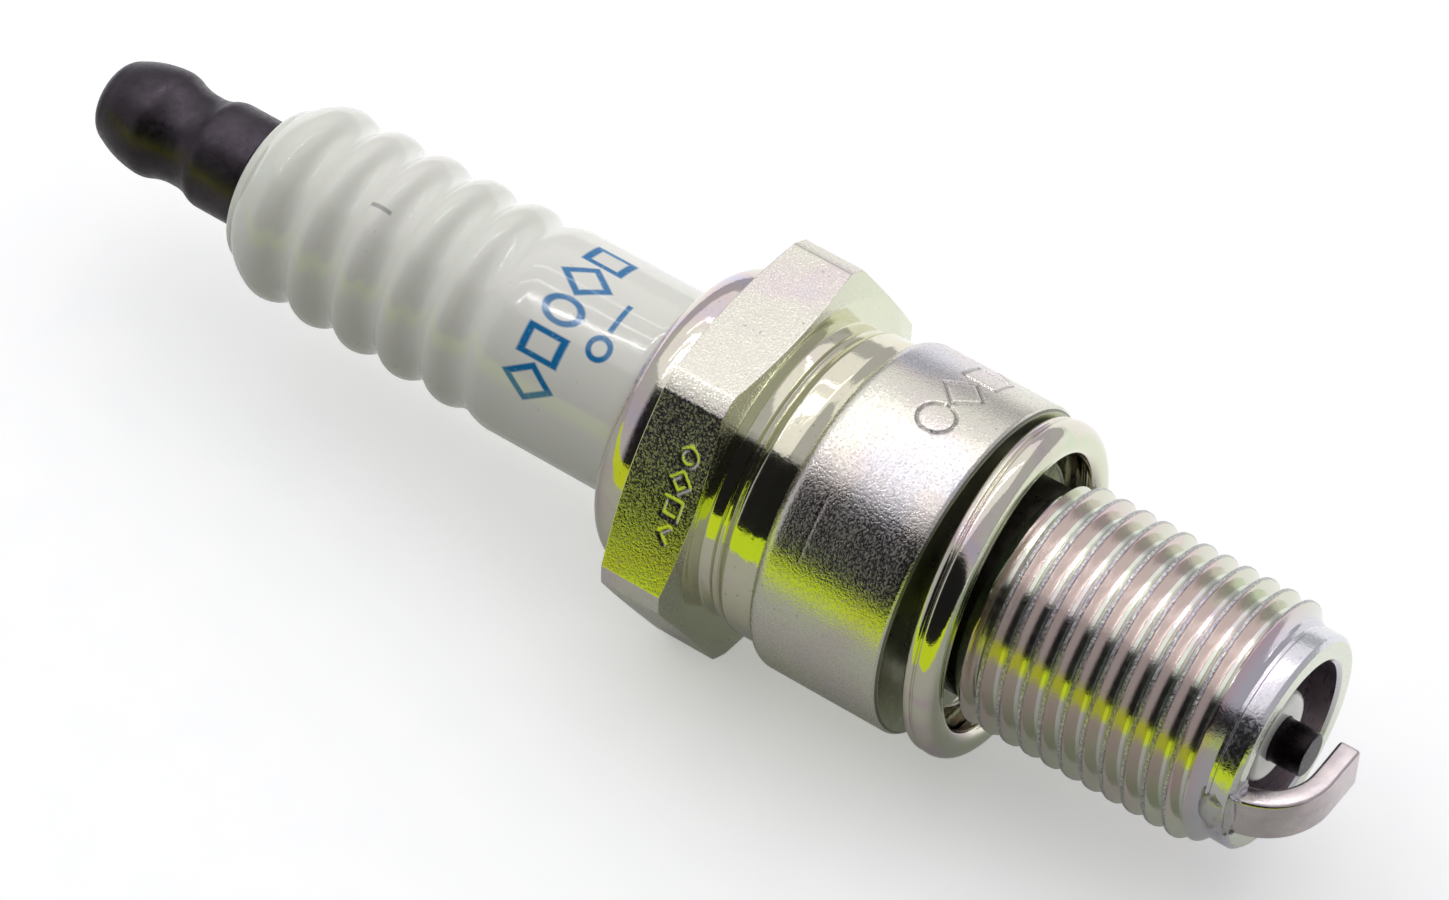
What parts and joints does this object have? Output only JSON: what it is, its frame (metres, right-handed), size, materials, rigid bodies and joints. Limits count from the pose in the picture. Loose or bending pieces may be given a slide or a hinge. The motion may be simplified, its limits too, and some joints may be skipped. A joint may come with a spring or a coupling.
{
  "type": "spark plug",
  "caption": "Threaded engine spark plug with a ribbed ceramic insulator, hexagon shell, loose folded gasket, hooked side electrode and a removable snap terminal.",
  "frame": {"origin": "centre of the flat gasket seat, on the plug's axis", "axes": "+X along the plug's axis towards the firing end; +Z normal to a flat of the hexagon, so the plug lies on the opposite flat"},
  "size_m": [0.0794, 0.0232, 0.0208],
  "materials": {
    "dark_steel": "dark satin plated steel",
    "stud_steel": "plain plated steel",
    "glazed_alumina": "glossy ivory glaze over alumina",
    "seal_glass": "copper-filled fused glass",
    "resistor_mix": "carbon-filled fused glass",
    "electrode_nickel": "dark nickel alloy",
    "copper": "drawn copper",
    "zinc_plate": "bright zinc plate with a faint iridescent passivation",
    "packing_steel": "soft steel sheet",
    "talc": "pressed talc powder",
    "gasket_plate": "bright blue-silver zinc plate",
    "strap_nickel": "satin nickel alloy"
  },
  "bodies": {
    "plug_body": {"shell": "zinc_plate", "insulator": "glazed_alumina", "terminal_stud": "stud_steel", "upper_glass_seal": "seal_glass", "resistor": "resistor_mix", "lower_glass_seal": "seal_glass", "center_electrode": "electrode_nickel", "electrode_core": "copper", "upper_packing_ring": "packing_steel", "talc_fill": "talc", "lower_packing_ring": "packing_steel", "inner_gasket": "packing_steel", "ground_electrode": "strap_nickel"},
    "gasket": {"crush_gasket": "gasket_plate"},
    "terminal": {"terminal_nut": "dark_steel"}
  },
  "joints": [
    {"name": "gasket_play", "type": "slide", "parent": "plug_body", "child": "gasket", "axis": [1, 0, 0], "range_m": [-0.0001, 0.0012]},
    {"name": "terminal_removal", "type": "slide", "parent": "plug_body", "child": "terminal", "axis": [-1, 0, 0], "range_m": [0, 0.009]}
  ]
}
